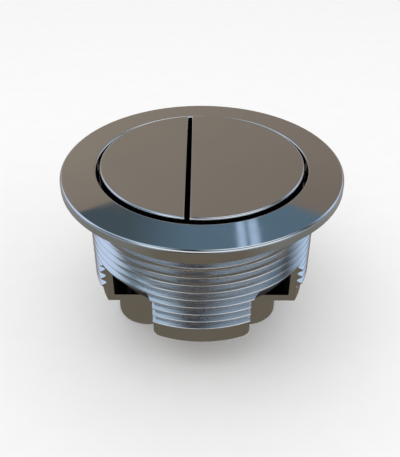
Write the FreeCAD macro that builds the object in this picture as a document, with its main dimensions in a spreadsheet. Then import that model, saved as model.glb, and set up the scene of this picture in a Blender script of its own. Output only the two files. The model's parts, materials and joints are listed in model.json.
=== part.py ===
# Dual flush push button for a cistern lid.
# Millimetres, +Z up. The origin is on the thread's axis, in the plane of the flange's underside,
# where the button sits on the lid. The small button is on the -X side, the large one on the +X side.

import FreeCAD, Part
import math
import os
from types import SimpleNamespace

import Sketcher

doc = FreeCAD.newDocument("cistern_push_button")

# Degrees in a turn, corners of a spring's wire section, and the smallest differences that count

FULL_TURN = 360
WIRE_SIDES = 8
VOLUME_CHANGE = 1e-4
NEAR = 1e-3

# Driving dimensions: name, value in millimetres, what it is

SIZES = (
    ("flange_radius", 36.5, "outside radius of the flange"),
    ("flange_edge", 2.3, "thickness of the flange at its outer edge"),
    ("flange_rise", 0.85, "how much higher the flange stands at its bore than at its edge"),
    ("rim_rounding", 0.6, "rounding of the flange's upper outer edge"),
    ("bore_rounding", 0.3, "rounding of the flange's inner edge"),
    ("bore_draft", 0.2, "how much narrower the bore is at the floor"),
    ("skirt_depth", 32.8, "depth of the tongues below the seat"),
    ("floor_thickness", 2.0, "thickness of the floor plate"),
    ("neck_radius", 30.4, "radius of the smooth neck"),
    ("neck_height", 5.3, "height of the smooth neck"),
    ("neck_step", 0.4, "how far the neck stands out beyond the thread's crests"),
    ("skirt_wall", 1.4, "wall of the skirt behind the thread's roots"),
    ("thread_pitch", 2.33, "pitch of the thread"),
    ("thread_depth", 1.3, "depth of the thread"),
    ("thread_crest", 0.45, "width of a crest"),
    ("thread_root", 0.5, "width of a root"),
    ("thread_start", 6.75, "depth of the uppermost groove's end below the seat"),
    ("thread_turns", 9, "turns of the thread"),
    ("lead_in", 4.7, "height of the smooth band at the tongues' ends"),
    ("lead_in_slope", 0.6, "height of the slope from the crests to the smooth band"),
    ("notch_top", 19.1, "depth of the notches' upper edge below the seat"),
    ("front_tongue_half", 12.3, "half the width of the front and back tongues"),
    ("side_tongue_half", 13.0, "half the width of the left and right tongues"),
    ("notch_rounding", 2.5, "rounding of the notches' inner corners"),
    ("tongue_rounding", 1.6, "rounding of the front and back tongues' lower corners"),
    ("slot_offset", 3.4, "distance of the slot between the buttons from the axis"),
    ("slot_width", 1.2, "width of the slot"),
    ("button_gap", 1.0, "gap between the buttons and the bore"),
    ("button_proud", 0.7, "how far the buttons stand above the flange's inner edge"),
    ("button_rounding", 0.7, "rounding of the buttons' outer edge"),
    ("slot_rounding", 0.3, "rounding of the buttons' edges along the slot"),
    ("cap_height", 8.0, "height of a button cap"),
    ("cap_wall", 1.5, "wall of a button cap"),
    ("cap_clearance", 0.1, "clearance between a cap and the plunger's spigot"),
    ("plunger_wall", 1.6, "wall of a plunger"),
    ("plunger_plate", 2.0, "thickness of a plunger's top plate"),
    ("plunger_step", 2.0, "height of the solid step below the cap's lower edge"),
    ("button_travel", 7.0, "travel of each button"),
    ("bottom_clearance", 0.3, "gap left below a plunger's skirt at full travel"),
    ("small_boss_inset", 11.8, "distance of the small button's boss axis from the bore"),
    ("large_boss_inset", 14.4, "distance of the large button's boss axis from the bore"),
    ("boss_radius", 9.0, "outside radius of a boss"),
    ("boss_length", 13.2, "length of a boss below the floor"),
    ("boss_wall", 1.5, "wall of a boss"),
    ("boss_rounding", 1.5, "rounding of a boss's lower edge"),
    ("boss_web", 1.7, "thickness of the wall that closes a boss"),
    ("recess_depth", 2.9, "depth of the recess below that wall"),
    ("recess_radius", 6.8, "radius of the recess"),
    ("stem_radius", 4.5, "radius of a stem"),
    ("stem_fit", 0.05, "radial running clearance of a stem in its bush"),
    ("stem_short", 0.15, "how far a stem ends above the boss's lower face"),
    ("spigot_radius", 3.2, "radius of the spigot at a stem's upper end"),
    ("collar_depth", 9.0, "depth of the collar's end, where the stem's shoulder bears"),
    ("bush_flange", 1.2, "thickness of a bush's flange"),
    ("bush_wall", 1.3, "wall of a bush's sleeve"),
    ("bush_clearance", 0.05, "clearance between a bush and its boss"),
    ("washer_thickness", 0.8, "thickness of a stop washer"),
    ("washer_radius", 6.2, "outside radius of a stop washer"),
    ("washer_clearance", 0.1, "clearance between a stop washer and the stem"),
    ("clip_thickness", 0.7, "thickness of a stem clip"),
    ("clip_radius", 5.9, "outside radius of a stem clip"),
    ("clip_mouth", 5.0, "width of a stem clip's mouth"),
    ("groove_depth", 0.7, "depth of the clip's groove in the stem"),
    ("clip_clearance", 0.05, "clearance of a clip in its groove"),
    ("insert_radius", 3.0, "outside radius of a rod insert"),
    ("insert_bore", 2.1, "radius of a rod insert's threaded bore"),
    ("insert_length", 8.0, "length of a rod insert"),
    ("insert_waist", 0.35, "depth of the groove round a rod insert"),
    ("insert_groove", 1.6, "width of the groove round a rod insert"),
    ("post_radius", 7.2, "outside radius of the post that the spring pushes on"),
    ("post_wall", 1.5, "wall of that post"),
    ("post_depth", 20.0, "depth of the post's end below the seat"),
    ("rib_thickness", 1.5, "thickness of the ribs between post and skirt"),
    ("rib_depth", 15.0, "depth of the ribs' lower edge below the seat"),
    ("spring_wire", 0.9, "diameter of the spring's wire"),
    ("spring_radius", 6.1, "mean radius of a spring"),
    ("spring_turns", 5, "turns of a spring"),
)


class Size:
    """A length with its value and the sheet formula that gives it."""

    def __init__(self, text, value):
        self.text = text
        self.value = value

    def joined(self, sign, other, value):
        return Size("(%s %s %s)" % (self.text, sign, as_size(other).text), value)

    def __add__(self, other):
        return self.joined("+", other, self.value + as_size(other).value)

    def __sub__(self, other):
        return self.joined("-", other, self.value - as_size(other).value)

    def __mul__(self, other):
        return self.joined("*", other, self.value * as_size(other).value)

    def __truediv__(self, other):
        return self.joined("/", other, self.value / as_size(other).value)

    def __neg__(self):
        return Size("(-1 * %s)" % self.text, -self.value)

    def leg(self, other):
        """The other leg of a right triangle whose long side is this size."""
        text = "sqrt(%s ^ 2 - %s ^ 2)" % (self.text, other.text)
        return Size(text, (self.value ** 2 - other.value ** 2) ** 0.5)


def as_size(number):
    return number if isinstance(number, Size) else Size(repr(number), number)


def fill_sheet():
    """Write the driving dimensions into the sheet and return them by name."""
    sheet = doc.addObject("Spreadsheet::Sheet", "dim")
    for row, (name, value, note) in enumerate(SIZES, start=1):
        sheet.set("A%d" % row, name)
        sheet.set("B%d" % row, str(value))
        sheet.set("C%d" % row, note)
        sheet.setAlias("B%d" % row, name)
    doc.recompute()
    return SimpleNamespace(**{name: Size("dim." + name, value) for name, value, note in SIZES})


# Helpers for sketches and features


def new_body(label, x=None):
    body = doc.addObject("PartDesign::Body", label)
    body.Label = label
    if x is not None:
        body.setExpression("Placement.Base.x", x.text)
    return body


def new_sketch(body, name, role, height=None):
    """A sketch on one of the body's origin planes, moved up along its normal by height."""
    sketch = body.newObject("Sketcher::SketchObject", name)
    planes = [feature for feature in body.Origin.OriginFeatures if feature.Role == role]
    sketch.AttachmentSupport = [(planes[0], "")]
    sketch.MapMode = "FlatFace"
    if height is not None:
        sketch.setExpression("AttachmentOffset.Base.z", height.text)
    return sketch


def bind(sketch, kind, *arguments):
    """Add a constraint whose value comes from the sheet. The last argument is the size."""
    size = as_size(arguments[-1])
    index = sketch.addConstraint(Sketcher.Constraint(kind, *arguments[:-1], size.value))
    sketch.setExpression("Constraints[%d]" % index, size.text)


def place_point(sketch, curve, end, x, y):
    """Hold one end of a curve at a place measured from the sketch's origin."""
    for axis, kind, size in ((-2, "DistanceX", x), (-1, "DistanceY", y)):
        if as_size(size).value == 0 and not isinstance(size, Size):
            sketch.addConstraint(Sketcher.Constraint("PointOnObject", curve, end, axis))
        else:
            bind(sketch, kind, -1, 1, curve, end, size)


def polygon(sketch, corners):
    """A closed outline of straight lines through the corners."""
    first = sketch.GeometryCount
    count = len(corners)
    points = [FreeCAD.Vector(as_size(x).value, as_size(y).value, 0) for x, y in corners]
    for index in range(count):
        sketch.addGeometry(Part.LineSegment(points[index], points[(index + 1) % count]))
    for index in range(count):
        following = first + (index + 1) % count
        sketch.addConstraint(Sketcher.Constraint("Coincident", first + index, 2, following, 1))
    for index, (x, y) in enumerate(corners):
        place_point(sketch, first + index, 1, x, y)


def rectangle(sketch, x_low, y_low, x_high, y_high):
    polygon(sketch, ((x_low, y_low), (x_high, y_low), (x_high, y_high), (x_low, y_high)))


def circle(sketch, x, y, radius):
    centre = FreeCAD.Vector(as_size(x).value, as_size(y).value, 0)
    up = FreeCAD.Vector(0, 0, 1)
    index = sketch.addGeometry(Part.Circle(centre, up, radius.value))
    place_point(sketch, index, 3, x, y)
    bind(sketch, "Radius", index, radius)


def segment(sketch, radius, chord, inward):
    """A circle's segment with a straight side at x = chord.

    The straight side faces +X where inward is 1 and -X where it is -1."""
    half = radius.leg(chord).value
    top = FreeCAD.Vector(chord.value, half, 0)
    bottom = FreeCAD.Vector(chord.value, -half, 0)
    side = FreeCAD.Vector(-radius.value * inward, 0, 0)
    arc = sketch.addGeometry(Part.Arc(bottom, side, top))
    line = sketch.addGeometry(Part.LineSegment(top, bottom))
    ends = {}
    for end in (1, 2):
        ends[sketch.getPoint(arc, end).y > 0] = end
    sketch.addConstraint(Sketcher.Constraint("Coincident", arc, 3, -1, 1))
    sketch.addConstraint(Sketcher.Constraint("Coincident", arc, ends[True], line, 1))
    sketch.addConstraint(Sketcher.Constraint("Coincident", arc, ends[False], line, 2))
    sketch.addConstraint(Sketcher.Constraint("Vertical", line))
    bind(sketch, "Radius", arc, radius)
    bind(sketch, "DistanceX", -1, 1, line, 1, chord)


def turned(body, name, sketch):
    """A solid revolved about the sketch's vertical axis."""
    feature = body.newObject("PartDesign::Revolution", name)
    feature.Profile = sketch
    feature.ReferenceAxis = (sketch, ["V_Axis"])
    feature.Angle = FULL_TURN
    return finished(feature)


def extruded(body, name, kind, sketch, length):
    """A pad or a pocket. Both run downwards from the sketch."""
    feature = body.newObject("PartDesign::" + kind, name)
    feature.Profile = sketch
    feature.setExpression("Length", length.text)
    feature.Reversed = kind == "Pad"
    return finished(feature)


def rounded(body, name, radius, wanted):
    """Round the edges of the body's tip that pass the test."""
    base = body.Tip
    names = ["Edge%d" % (i + 1) for i, edge in enumerate(base.Shape.Edges) if wanted(edge)]
    if not names:
        raise RuntimeError(name + " finds no edge to round")
    feature = body.newObject("PartDesign::Fillet", name)
    feature.Base = (base, names)
    feature.setExpression("Radius", radius.text)
    return finished(feature)


def finished(feature):
    """Recompute, and make sure that the feature changed its body."""
    before = feature.BaseFeature.Shape.Volume if feature.BaseFeature else 0
    doc.recompute()
    if abs(feature.Shape.Volume - before) < VOLUME_CHANGE:
        raise RuntimeError(feature.Name + " changes nothing")
    return feature


def level_circle(edge, radius, height):
    """Whether the edge is a level circle or arc of this radius at this height."""
    curve = edge.Curve
    if not isinstance(curve, Part.Circle):
        return False
    return abs(curve.Radius - radius) < NEAR and abs(curve.Center.z - height) < NEAR


def on_line(edge, along, **places):
    """Whether the edge is a straight line along an axis through the given places."""
    if not isinstance(edge.Curve, Part.Line):
        return False
    if abs(abs(getattr(edge.Curve.Direction, along)) - 1) > NEAR:
        return False
    point = edge.CenterOfMass
    return all(abs(abs(getattr(point, axis)) - place) < NEAR for axis, place in places.items())


# Heights and radii that several pieces share


def flange_top(s):
    return s.flange_edge + s.flange_rise


def cap_top(s):
    return flange_top(s) + s.button_proud


def floor_top(s):
    return s.floor_thickness - s.skirt_depth


def boss_foot(s):
    return -(s.skirt_depth + s.boss_length)


def web_foot(s):
    """Height of the lower face of the wall that closes a boss."""
    return boss_foot(s) + s.recess_depth


def bush_seat(s):
    return web_foot(s) + s.boss_web


def clip_top(s):
    return web_foot(s) - s.washer_thickness


def stem_foot(s):
    return boss_foot(s) + s.stem_short


def crest_radius(s):
    return s.neck_radius - s.neck_step


def root_radius(s):
    return crest_radius(s) - s.thread_depth


def bore_radius(s):
    """Radius of the opening for the buttons."""
    return root_radius(s) - s.skirt_wall


def boss_places(s):
    """Places of the small and the large button's boss axis along X."""
    return s.small_boss_inset - bore_radius(s), bore_radius(s) - s.large_boss_inset


def plate_foot(s):
    return cap_top(s) - s.cap_wall - s.plunger_plate


def bush_bore(s):
    return s.stem_radius + s.stem_fit


def bush_sleeve(s):
    return bush_bore(s) + s.bush_wall


# Plated body


def bezel_body(s):
    """Flange, neck, skirt and floor turned as one, then bosses, notches and thread."""
    body = new_body("bezel_body")
    slope_foot = s.lead_in - s.skirt_depth

    section = new_sketch(body, "body_section", "XZ_Plane")
    polygon(section, (
        (bore_radius(s), flange_top(s)),
        (s.flange_radius, s.flange_edge),
        (s.flange_radius, 0),
        (s.neck_radius, 0),
        (s.neck_radius, -s.neck_height),
        (crest_radius(s), -(s.neck_height + s.neck_step)),
        (crest_radius(s), slope_foot + s.lead_in_slope),
        (root_radius(s), slope_foot),
        (root_radius(s), -s.skirt_depth),
        (0, -s.skirt_depth),
        (0, floor_top(s)),
        (bore_radius(s) - s.bore_draft, floor_top(s)),
    ))
    turned(body, "body_turned", section)

    bosses = new_sketch(body, "boss_outlines", "XY_Plane", -s.skirt_depth)
    for x in boss_places(s):
        circle(bosses, x, 0, s.boss_radius)
    extruded(body, "bosses", "Pad", bosses, s.boss_length)

    notches = new_sketch(body, "notch_outlines", "XY_Plane", -s.notch_top)
    reach = s.flange_radius
    for x_side in (-1, 1):
        for y_side in (-1, 1):
            rectangle(notches, s.front_tongue_half * x_side, s.side_tongue_half * y_side,
                      reach * x_side, reach * y_side)
    extruded(body, "notches", "Pocket", notches, s.skirt_depth - s.notch_top + s.floor_thickness)

    cavity_depth = floor_top(s) - bush_seat(s)
    bush_hole = bush_sleeve(s) + s.bush_clearance
    bores = (
        ("boss_cavities", floor_top(s), s.boss_radius - s.boss_wall, cavity_depth),
        ("bush_holes", bush_seat(s), bush_hole, s.boss_web),
        ("clip_recesses", web_foot(s), s.recess_radius, s.recess_depth),
    )
    for name, height, radius, depth in bores:
        outlines = new_sketch(body, name + "_outlines", "XY_Plane", height)
        for x in boss_places(s):
            circle(outlines, x, 0, radius)
        extruded(body, name, "Pocket", outlines, depth)

    rounded(body, "boss_edges", s.boss_rounding,
            lambda edge: level_circle(edge, s.boss_radius.value, boss_foot(s).value))
    rounded(body, "rim_edge", s.rim_rounding,
            lambda edge: level_circle(edge, s.flange_radius.value, s.flange_edge.value))
    rounded(body, "bore_edge", s.bore_rounding,
            lambda edge: level_circle(edge, bore_radius(s).value, flange_top(s).value))
    rounded(body, "floor_corners", s.notch_rounding,
            lambda edge: on_line(edge, "z", x=s.front_tongue_half.value,
                                 y=s.side_tongue_half.value))
    rounded(body, "notch_corners", s.notch_rounding,
            lambda edge: on_line(edge, "y", x=s.front_tongue_half.value, z=s.notch_top.value)
            or on_line(edge, "x", y=s.side_tongue_half.value, z=s.notch_top.value))
    rounded(body, "tongue_corners", s.tongue_rounding,
            lambda edge: on_line(edge, "y", x=s.front_tongue_half.value,
                                 z=s.skirt_depth.value))
    cut_thread(body, s)
    return body


def cut_thread(body, s):
    """Cut the right-hand groove of the thread upwards from the smooth band."""
    root = root_radius(s)
    crest = crest_radius(s)
    outside = crest + s.thread_depth
    height = s.thread_pitch * s.thread_turns
    middle = -(s.thread_start + height)
    wide = (s.thread_pitch - s.thread_crest) / 2
    narrow = s.thread_root / 2
    profile = new_sketch(body, "thread_profile", "XZ_Plane")
    polygon(profile, (
        (root, middle - narrow),
        (crest, middle - wide),
        (outside, middle - wide),
        (outside, middle + wide),
        (crest, middle + wide),
        (root, middle + narrow),
    ))
    thread = body.newObject("PartDesign::SubtractiveHelix", "thread")
    thread.Profile = profile
    thread.ReferenceAxis = (profile, ["V_Axis"])
    thread.Mode = "pitch-height-angle"
    thread.setExpression("Pitch", s.thread_pitch.text)
    thread.setExpression("Height", height.text)
    return finished(thread)


# Buttons: everything that is made once for each side


def side_values(s, side):
    """Sizes of one button: its name, its boss's place and the place of its straight wall."""
    small = side == "small"
    half = s.slot_width / 2
    return SimpleNamespace(
        side=side,
        inward=1 if small else -1,
        boss_x=boss_places(s)[0 if small else 1],
        chord=-(s.slot_offset + half) if small else half - s.slot_offset,
    )


def button_cap(s, v):
    """A plated shell: a segment of a disc with a wall all round, open below."""
    body = new_body(v.side + "_button_cap")
    top = cap_top(s)
    radius = bore_radius(s) - s.button_gap
    outline = new_sketch(body, v.side + "_cap_outline", "XY_Plane", top)
    segment(outline, radius, v.chord, v.inward)
    extruded(body, v.side + "_cap_block", "Pad", outline, s.cap_height)
    hollow = new_sketch(body, v.side + "_cap_hollow_outline", "XY_Plane", top - s.cap_wall)
    segment(hollow, radius - s.cap_wall, v.chord - s.cap_wall * v.inward, v.inward)
    extruded(body, v.side + "_cap_hollow", "Pocket", hollow, s.cap_height)
    rounded(body, v.side + "_cap_edge", s.button_rounding,
            lambda edge: level_circle(edge, radius.value, top.value))
    rounded(body, v.side + "_cap_slot_edge", s.slot_rounding,
            lambda edge: on_line(edge, "y", x=abs(v.chord.value), z=top.value))
    return body


def plunger(s, v):
    """The moulding inside a cap: plate, skirt, ribs, post for the spring, and the stem's collar."""
    body = new_body(v.side + "_plunger")
    top = cap_top(s) - s.cap_wall
    cap_foot = cap_top(s) - s.cap_height
    skirt_foot = floor_top(s) + s.button_travel + s.bottom_clearance
    radius = bore_radius(s) - s.button_gap
    inset = s.cap_wall + s.cap_clearance

    spigot = new_sketch(body, v.side + "_spigot_outline", "XY_Plane", top)
    segment(spigot, radius - inset, v.chord - inset * v.inward, v.inward)
    extruded(body, v.side + "_spigot", "Pad", spigot, top - cap_foot)
    skirt = new_sketch(body, v.side + "_skirt_outline", "XY_Plane", cap_foot)
    segment(skirt, radius, v.chord, v.inward)
    extruded(body, v.side + "_skirt", "Pad", skirt, cap_foot - skirt_foot)

    thin = inset + s.plunger_wall
    upper = new_sketch(body, v.side + "_upper_hollow_outline", "XY_Plane", plate_foot(s))
    segment(upper, radius - thin, v.chord - thin * v.inward, v.inward)
    extruded(body, v.side + "_upper_hollow", "Pocket", upper, plate_foot(s) - skirt_foot)
    lower_top = cap_foot - s.plunger_step
    lower = new_sketch(body, v.side + "_lower_hollow_outline", "XY_Plane", lower_top)
    segment(lower, radius - s.plunger_wall, v.chord - s.plunger_wall * v.inward, v.inward)
    extruded(body, v.side + "_lower_hollow", "Pocket", lower, lower_top - skirt_foot)

    ribs = new_sketch(body, v.side + "_rib_outlines", "XY_Plane", plate_foot(s))
    half = s.rib_thickness / 2
    rib_inner = s.post_radius - s.post_wall / 2
    rib_outer = radius - thin / 2
    boss_out = v.boss_x * -v.inward
    reach = rib_outer.leg(boss_out + half)
    for y_side in (-1, 1):
        rectangle(ribs, v.boss_x - half, rib_inner * y_side, v.boss_x + half, reach * y_side)
    outer_end = rib_outer.leg(half) * -v.inward
    rectangle(ribs, v.boss_x - rib_inner * v.inward, -half, outer_end, half)
    chord_end = v.chord - (thin / 2) * v.inward
    rectangle(ribs, v.boss_x + rib_inner * v.inward, -half, chord_end, half)
    extruded(body, v.side + "_ribs", "Pad", ribs, plate_foot(s) + s.rib_depth)

    for name, inside, depth in (("_post", s.post_radius - s.post_wall, s.post_depth),
                                ("_collar", s.spigot_radius, s.collar_depth)):
        outline = new_sketch(body, v.side + name + "_outline", "XY_Plane", plate_foot(s))
        circle(outline, v.boss_x, 0, s.post_radius)
        circle(outline, v.boss_x, 0, inside)
        extruded(body, v.side + name, "Pad", outline, plate_foot(s) + depth)
    return body


def turned_piece(label, x, corners):
    """A piece turned about the boss's axis from a closed outline of radii and heights."""
    body = new_body(label, x)
    outline = new_sketch(body, label + "_outline", "XZ_Plane")
    polygon(outline, corners)
    turned(body, label + "_turned", outline)
    return body


def stem(s, v):
    """The turned rod pressed into a plunger's collar, with a groove for the clip near its foot."""
    foot = stem_foot(s)
    neck = s.stem_radius - s.groove_depth
    groove_foot = clip_top(s) - s.clip_thickness - s.clip_clearance
    return turned_piece(v.side + "_stem", v.boss_x, (
        (0, plate_foot(s)),
        (s.spigot_radius, plate_foot(s)),
        (s.spigot_radius, -s.collar_depth),
        (s.stem_radius, -s.collar_depth),
        (s.stem_radius, clip_top(s)),
        (neck, clip_top(s)),
        (neck, groove_foot),
        (s.stem_radius, groove_foot),
        (s.stem_radius, foot),
        (s.insert_radius, foot),
        (s.insert_radius, foot + s.insert_length),
        (0, foot + s.insert_length),
    ))


def guide_bush(s, v):
    """A flanged sleeve. Its flange lies on the wall that closes the boss."""
    bore = bush_bore(s)
    sleeve = bush_sleeve(s)
    flange = s.boss_radius - s.boss_wall - s.bush_clearance
    seat = bush_seat(s)
    return turned_piece(v.side + "_guide_bush", v.boss_x, (
        (bore, web_foot(s)),
        (sleeve, web_foot(s)),
        (sleeve, seat),
        (flange, seat),
        (flange, seat + s.bush_flange),
        (bore, seat + s.bush_flange),
    ))


def stop_washer(s, v):
    bore = s.stem_radius + s.washer_clearance
    return turned_piece(v.side + "_stop_washer", v.boss_x, (
        (bore, clip_top(s)),
        (s.washer_radius, clip_top(s)),
        (s.washer_radius, web_foot(s)),
        (bore, web_foot(s)),
    ))


def stem_clip(s, v):
    """A flat spring ring with an open mouth, snapped sideways into the stem's groove."""
    body = new_body(v.side + "_stem_clip", v.boss_x)
    bore = s.stem_radius - s.groove_depth + s.clip_clearance
    ring = new_sketch(body, v.side + "_clip_outline", "XY_Plane", clip_top(s))
    circle(ring, 0, 0, s.clip_radius)
    circle(ring, 0, 0, bore)
    extruded(body, v.side + "_clip_ring", "Pad", ring, s.clip_thickness)
    mouth = new_sketch(body, v.side + "_clip_mouth_outline", "XY_Plane", clip_top(s))
    half = s.clip_mouth / 2
    rectangle(mouth, -half, 0, half, -s.clip_radius)
    extruded(body, v.side + "_clip_mouth", "Pocket", mouth, s.clip_thickness)
    return body


def rod_insert(s, v):
    """A brass sleeve with a groove round its middle, moulded into the stem's end."""
    foot = stem_foot(s)
    waist = s.insert_radius - s.insert_waist
    middle = foot + s.insert_length / 2
    half = s.insert_groove / 2
    return turned_piece(v.side + "_rod_insert", v.boss_x, (
        (s.insert_bore, foot),
        (s.insert_radius, foot),
        (s.insert_radius, middle - half),
        (waist, middle - half),
        (waist, middle + half),
        (s.insert_radius, middle + half),
        (s.insert_radius, foot + s.insert_length),
        (s.insert_bore, foot + s.insert_length),
    ))


def return_spring(s, v):
    """A coil between the bush's flange and the plunger's post.

    The wire's section has a corner at its top and one at its bottom, which touch the seats."""
    body = new_body(v.side + "_return_spring", v.boss_x)
    foot = bush_seat(s) + s.bush_flange
    wire = s.spring_wire / 2
    rise = -s.post_depth - foot - s.spring_wire
    profile = new_sketch(body, v.side + "_wire_section", "XZ_Plane")
    angles = [math.radians(FULL_TURN * corner / WIRE_SIDES) for corner in range(WIRE_SIDES)]
    polygon(profile, [(s.spring_radius + wire * math.sin(angle),
                       foot + wire + wire * math.cos(angle)) for angle in angles])
    coil = body.newObject("PartDesign::AdditiveHelix", v.side + "_coil")
    coil.Profile = profile
    coil.ReferenceAxis = (profile, ["V_Axis"])
    coil.Mode = "pitch-height-angle"
    coil.setExpression("Pitch", (rise / s.spring_turns).text)
    coil.setExpression("Height", rise.text)
    finished(coil)
    return body


def check_document():
    """Stop if any object of the document failed to recompute."""
    doc.recompute()
    for item in doc.Objects:
        if {"Invalid", "Error"} & set(item.State):
            raise RuntimeError("%s failed: %s" % (item.Name, item.State))


def write_parts(bodies):
    os.makedirs("parts", exist_ok=True)
    for body in bodies:
        shape = body.Shape
        if shape.isNull() or not shape.isValid() or len(shape.Solids) != 1:
            raise RuntimeError(body.Label + " is not one valid solid")
        shape.exportStep("parts/%s.step" % body.Label)
        print("%-22s volume %9.1f mm3" % (body.Label, shape.Volume))


def main():
    s = fill_sheet()
    bodies = [bezel_body(s)]
    for side in ("small", "large"):
        values = side_values(s, side)
        for make in (button_cap, plunger, stem, return_spring, guide_bush, stop_washer,
                     stem_clip, rod_insert):
            bodies.append(make(s, values))
    check_document()
    write_parts(bodies)


main()
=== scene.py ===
"""Looks for the dual flush push button of a cistern lid.

Lengths are in metres. The frame has +Z up, the flange's underside at height zero, the small button
towards -X and the photograph's front towards -Y.
"""

import json
import math

import bmesh
import bpy
from bpy.props import FloatProperty, FloatVectorProperty, IntProperty, PointerProperty
from mathutils import Matrix, Vector


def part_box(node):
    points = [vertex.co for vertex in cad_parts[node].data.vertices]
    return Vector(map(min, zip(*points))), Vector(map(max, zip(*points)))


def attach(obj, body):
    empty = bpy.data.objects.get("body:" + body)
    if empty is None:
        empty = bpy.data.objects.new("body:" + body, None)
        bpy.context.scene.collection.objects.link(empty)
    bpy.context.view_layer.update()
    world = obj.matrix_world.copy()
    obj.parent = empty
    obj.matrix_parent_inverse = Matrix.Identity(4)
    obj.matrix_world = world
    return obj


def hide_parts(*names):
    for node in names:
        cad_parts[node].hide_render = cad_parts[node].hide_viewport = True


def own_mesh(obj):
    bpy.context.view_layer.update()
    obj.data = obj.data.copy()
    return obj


bl_info = {
    "name": "Cistern push button",
    "version": (1, 0, 0),
    "blender": (4, 5, 0),
    "location": "View3D > Sidebar > Push button",
    "description": "Dresses the dual flush push button of a cistern lid",
    "category": "Object",
}

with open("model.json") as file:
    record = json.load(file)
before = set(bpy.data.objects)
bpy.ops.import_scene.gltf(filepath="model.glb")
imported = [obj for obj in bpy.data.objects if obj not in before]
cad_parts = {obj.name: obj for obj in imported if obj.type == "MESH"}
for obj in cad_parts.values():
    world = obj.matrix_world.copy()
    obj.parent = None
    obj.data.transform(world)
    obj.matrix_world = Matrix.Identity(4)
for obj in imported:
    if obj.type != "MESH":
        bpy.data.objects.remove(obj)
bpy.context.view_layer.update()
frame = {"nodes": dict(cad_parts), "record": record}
SIDES = ("small", "large")
BODY_LOW, BODY_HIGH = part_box("bezel_body")
CAP_LOW, CAP_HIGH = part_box("large_button_cap")
SPRING_LOW, SPRING_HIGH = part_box("small_return_spring")
INSERT_LOW, INSERT_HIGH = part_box("small_rod_insert")
SLOT_COLOURS = {item["slot"]: item["base_color"] for item in frame["record"]["materials"]}

FULL_TURN = 2 * math.pi
CORNERS = ((-1, -1), (-1, 1), (1, -1), (1, 1))

# How far a cutter stands out of what it cuts, how close points are joined, what angle stays sharp
MARGIN = 0.001
WELD = 5e-6
SHARP_ANGLE = math.radians(28)

# Faces along a rounding, round a turned solid, round a spring's wire, along one turn of a spring,
# round a rod insert, along one pitch of its thread, and round the room
ROUNDING_STEPS = 8
ROUNDING_ANGLES = [math.pi / 2 * k / ROUNDING_STEPS for k in range(ROUNDING_STEPS + 1)]
TURNED_STEPS = 96
WIRE_STEPS = 14
COIL_STEPS = 48
INSERT_STEPS = 72
INSERT_ROWS = 8
ROOM_STEPS = 48

# Shares of a pitch, where the last groove runs out and in a rod insert's crests and roots, and the
# share of that insert's flanks that is rounded off
RUN_OUT = 0.06
INSERT_FLAT = 1 / 8
INSERT_SOFTNESS = 0.1

# Marks and grain: scale and detail of their noise, the noise between which a smear shows, its share
# of the worn colour, and the parts of smear and grain in the roughness
MARK_SCALE = 130.0
MARK_DETAIL = 5.0
GRAIN_DETAIL = 3.0
SMEARED = (0.4, 0.7)
SMEAR_TINT = 0.6
SMEAR_HAZE = 0.7
GRAIN_HAZE = 0.3

# The thread's rougher plating: thread depths between which it begins, its grain's scale, stretch
# upwards and height beside the common grain, and what it adds to the roughness
ROUGH_DEPTH = (1.3, 1.1)
THREAD_GRAIN_SCALE = 2600.0
THREAD_GRAIN_STRETCH = 0.5
THREAD_GRAIN = 45.0
THREAD_HAZE = 0.1

# The room that the plating mirrors. A place in it is a direction of length one, with X to the
# right, Y to the wall behind the part and Z up. A span is an axis, where a thing begins to show and
# where it shows in full.
WALL_TO_RIGHT = (("x", -0.3, 0.3),)
WALL_SHADE = (0.42, 0.6, 1.04, 0.92)  # from and to which height, from and to which brightness
UPPER_TO_RIGHT = (("x", -0.17, -0.03),)
UPPER_WALL = (("edge", 0.641, 0.647),)
EDGE_DROP = 0.12  # fall of the upper wall's edge towards both sides
EDGE_TILT = 0.015  # its rise towards the right
STRIPS = ((0.0957, 0.0135), (0.1245, 0.0155))  # place and half width
STRIP_CORE = 0.4  # share of the half width that shows in full
STRIP_REACH = (("z", 0.65, 0.7), ("y", 0.2, 0.4))
BACKDROP_FOOT = (("z", 0.2, 0.12), ("y", 0.84, 0.92))
CEILING = (("z", 0.76, 0.8), ("y", -0.6, -0.5))
SIDE_WALLS = (("beside", 0.33, 0.4), ("y", 0.0, 0.1), ("z", 0.22, 0.32))
PANEL = (("x", -0.02, 0.06), ("x", 0.42, 0.34), ("y", 0.24, 0.32), ("y", 0.66, 0.6),
         ("z", 0.765, 0.785))
FRONT_WALL = (("y", -0.1, -0.2), ("z", 0.45, 0.2))
FRONT_SIDES = (("beside", 0.25, 0.45),)
FRONT_LIGHT = (("lean", -0.6, -0.72), ("z", 0.17, 0.27), ("x", -0.74, -0.6), ("x", 0.9, 0.82))
FRONT_LEAN = 0.5  # how much further back the front light reaches towards both sides
RIGHT_LEAN = 0.3  # the same beyond this place on the right, in addition
RIGHT_FROM = 0.3

# Windows and glows: angle round the body from its front, half width, softness, colour's name
WINDOWS = (
    (-1.36, 0.16, 0.08, "corner"), (-1.0, 0.27, 0.1, "window_left"),
    (-0.52, 0.28, 0.1, "glow_left"), (0.38, 0.3, 0.12, "glow_right"),
    (1.4, 0.16, 0.08, "corner"), (1.12, 0.18, 0.13, "window_right"),
)

# The table that the plating mirrors: height over the floor, the angle from the front at which its
# edge is darkest, and its spans in metres, or in angles off that one
TABLE_GAP = 0.00005
TABLE_DARKEST = -0.15
TABLE_SIDES = (("beside", 0.04, 0.075),)
TABLE_BACK = (("y", -0.02, 0.07), ("beside", 0.04, 0.09))
TABLE_GLOW = (("off", 0.18, 0.38),)
TABLE_FAR = (("reach", 0.125, 0.15), ("off", 2.2, 1.8))

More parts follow.
